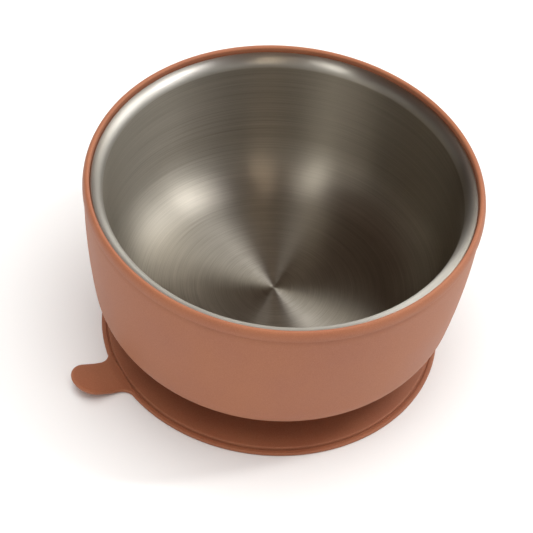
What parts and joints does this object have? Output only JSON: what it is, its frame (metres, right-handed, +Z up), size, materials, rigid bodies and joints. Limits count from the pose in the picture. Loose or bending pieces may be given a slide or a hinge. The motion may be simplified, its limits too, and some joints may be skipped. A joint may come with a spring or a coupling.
{
  "type": "suction bowl",
  "caption": "Round feeding bowl: a brushed steel bowl in a thick soft silicone sleeve, on a wide suction pad with a pull tab at its edge.",
  "frame": {"origin": "middle of the footprint, tab included, on the surface the pad stands on; the bowl's own axis is 3.5 mm to +X", "axes": "+Z up along the bowl's axis, -X towards the pull tab, +Y completes the right-handed frame"},
  "size_m": [0.1324, 0.125, 0.067],
  "materials": {
    "brushed_stainless": "spun brushing around the axis",
    "sleeve_silicone": "soft matte terracotta",
    "pad_silicone": "soft matte terracotta",
    "tab_silicone": "soft matte terracotta"
  },
  "bodies": {
    "pad": {"suction_pad": "pad_silicone"},
    "sleeve": {"silicone_sleeve": "sleeve_silicone"},
    "steel": {"steel_bowl": "brushed_stainless"},
    "tab": {"pull_tab": "tab_silicone"}
  },
  "joints": [
    {"name": "suction_press", "type": "slide", "parent": "pad", "child": "sleeve", "axis": [0, 0, -1], "range_m": [0, 0.0025], "stiffness_N_per_m": 10000, "deforming": ["suction_pad"]},
    {"name": "steel_lift", "type": "slide", "parent": "sleeve", "child": "steel", "axis": [0, 0, 1], "range_m": [0, 0.06]},
    {"name": "tab_flex", "type": "hinge", "parent": "pad", "child": "tab", "pos_m": [-0.05126, 0, 0.00155], "axis": [0, 1, 0], "range_deg": [-10, 65], "stiffness_Nm_per_rad": 0.03}
  ]
}
